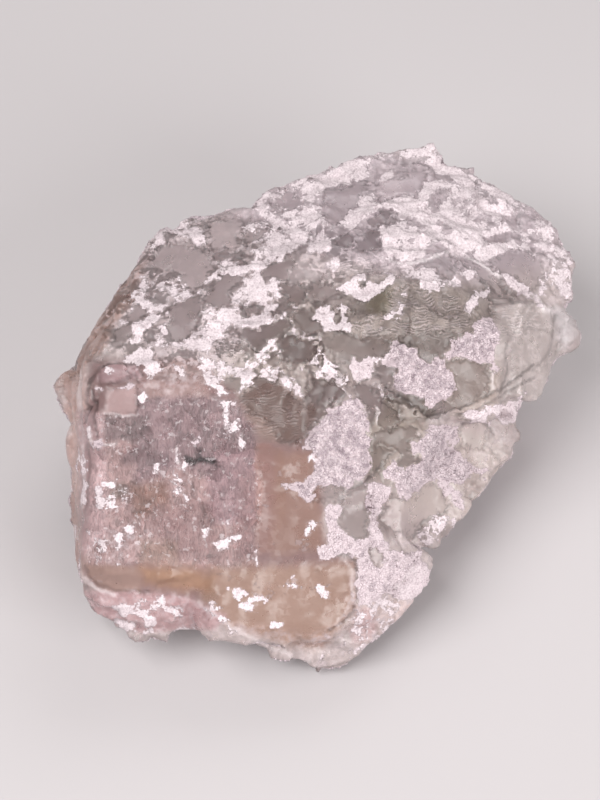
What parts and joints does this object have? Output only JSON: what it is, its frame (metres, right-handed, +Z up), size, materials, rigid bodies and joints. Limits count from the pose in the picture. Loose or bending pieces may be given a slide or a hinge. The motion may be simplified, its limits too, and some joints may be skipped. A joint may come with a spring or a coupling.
{
  "type": "fluorite cluster",
  "caption": "Palm-sized cluster of intergrown cubic fluorite, clear grey-green and see-through, with a patchy white sugar-grained crust, resting on a flat cleavage break.",
  "frame": {"origin": "a point on the flat cleavage break that the cluster rests on, under the middle of the great cube's upper edge", "axes": "+Z up, away from the cleavage break; +X towards the right as the best face is seen; +Y from the great cube's foot towards the crest"},
  "size_m": [0.0563, 0.0584, 0.0267],
  "materials": {
    "clear_fluorite": "smooth natural crystal faces, glassy, faintly frosted",
    "sugar_druse": "fine sugary crystal grains, white with a faint pink cast"
  },
  "bodies": {
    "root": {"fluorite_cluster": "clear_fluorite"}
  },
  "joints": []
}
